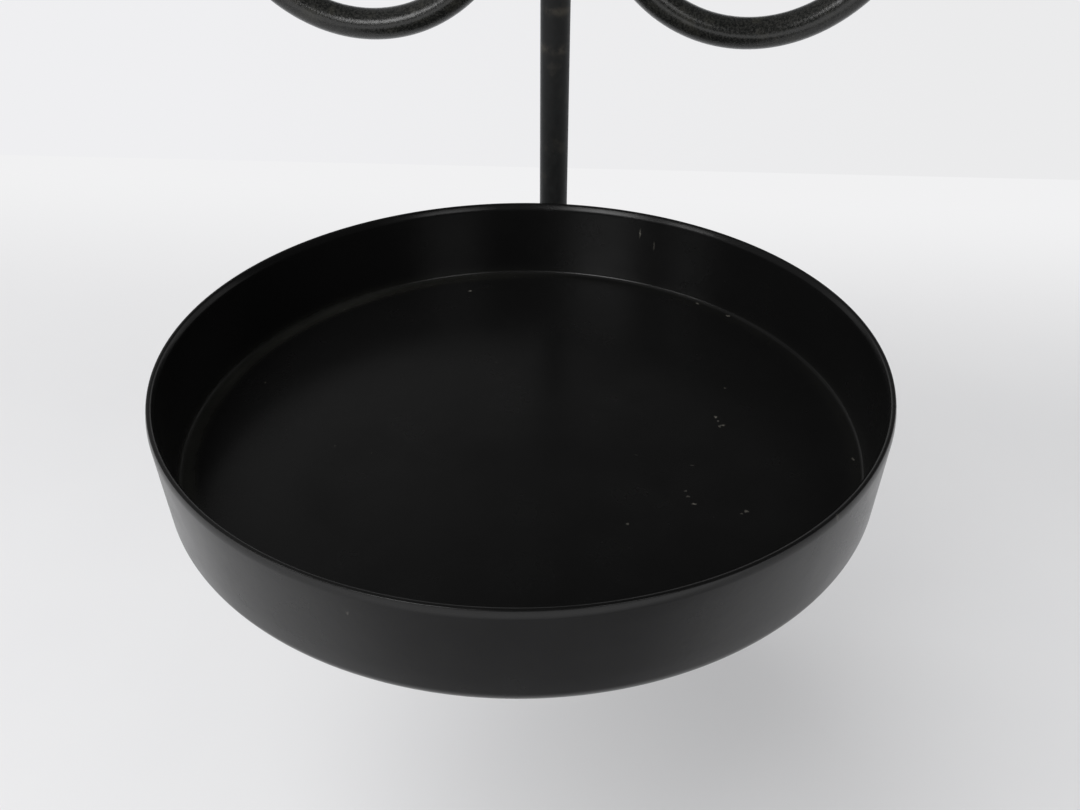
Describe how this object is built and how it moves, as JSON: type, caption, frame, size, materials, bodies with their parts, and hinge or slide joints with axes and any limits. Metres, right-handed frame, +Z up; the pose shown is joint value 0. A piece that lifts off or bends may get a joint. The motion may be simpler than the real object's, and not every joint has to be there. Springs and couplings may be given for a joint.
{
  "type": "wall candle holder",
  "caption": "Wall-hung pillar candle holder: a round steel pan on a bent round-bar stem between paired C-scrolls, hung by a drilled eye.",
  "frame": {"origin": "centre of the hanging hole, on the wall plane that the eye, the stem and the scrolls lie against", "axes": "+Z up; +X to the right seen from the front; the wall is the plane y = 0 and the pan stands out towards -Y"},
  "size_m": [0.1464, 0.1334, 0.2117],
  "materials": {
    "pan_paint": "satin black stoving paint on drawn mild steel",
    "bar_paint": "matt black paint on bent mild steel bar",
    "scroll_paint": "semi-matt black paint with a fine grit on bent mild steel bar",
    "weld_paint": "matt black paint over rippled weld metal"
  },
  "bodies": {
    "root": {"pan": "pan_paint", "stem": "bar_paint", "hanging_eye": "bar_paint", "left_scroll": "scroll_paint", "right_scroll": "scroll_paint", "pan_wall_welds": "weld_paint", "arm_welds": "weld_paint", "left_scroll_welds": "weld_paint", "right_scroll_welds": "weld_paint"}
  },
  "joints": []
}
